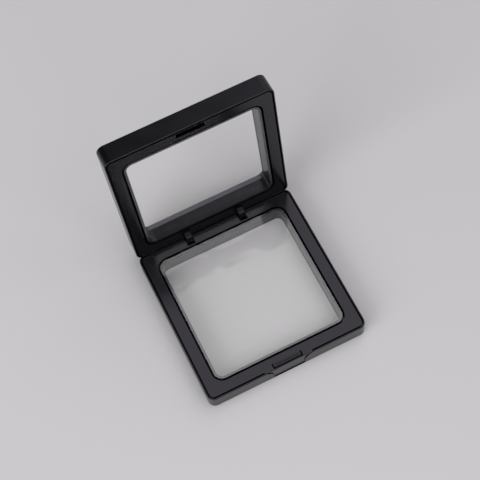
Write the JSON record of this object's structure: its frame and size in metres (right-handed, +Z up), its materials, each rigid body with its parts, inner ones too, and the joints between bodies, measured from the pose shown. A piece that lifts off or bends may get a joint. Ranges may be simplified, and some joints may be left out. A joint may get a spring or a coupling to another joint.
{
  "type": "display box",
  "caption": "Square two-part display box with a window and a stretched clear film in each half, joined at the rear by two curved sliding hinge links; shown open.",
  "frame": {"origin": "on the table, at the centre of the open box's footprint", "axes": "+X right along the front edge, +Y from the front edge to the hinge, +Z up"},
  "size_m": [0.09, 0.1106, 0.0989],
  "materials": {
    "shell_plastic": "fine textured black moulded plastic",
    "frame_plastic": "matte black moulded plastic",
    "link_plastic": "glossy black moulded plastic",
    "clear_film": "clear stretched film"
  },
  "bodies": {
    "base": {"base_shell": "shell_plastic", "base_clamp_frame": "frame_plastic", "base_film": "clear_film"},
    "lid": {"lid_shell": "shell_plastic", "lid_clamp_frame": "frame_plastic", "lid_film": "clear_film"},
    "left_link": {"left_hinge_link": "link_plastic"},
    "right_link": {"right_hinge_link": "link_plastic"}
  },
  "joints": [
    {"name": "lid_hinge", "type": "hinge", "parent": "base", "child": "lid", "pos_m": [0, 0.03383, 0.0105], "axis": [1, 0, 0], "range_deg": [0, 96.7]},
    {"name": "left_link_slide", "type": "hinge", "parent": "base", "child": "left_link", "pos_m": [0, 0.03383, 0.0105], "axis": [1, 0, 0], "range_deg": [0, 48.4]},
    {"name": "right_link_slide", "type": "hinge", "parent": "base", "child": "right_link", "pos_m": [0, 0.03383, 0.0105], "axis": [1, 0, 0], "range_deg": [0, 48.4]}
  ],
  "couplings": [
    {"joint": "left_link_slide", "follows": "lid_hinge", "ratio": 0.5},
    {"joint": "right_link_slide", "follows": "lid_hinge", "ratio": 0.5}
  ]
}
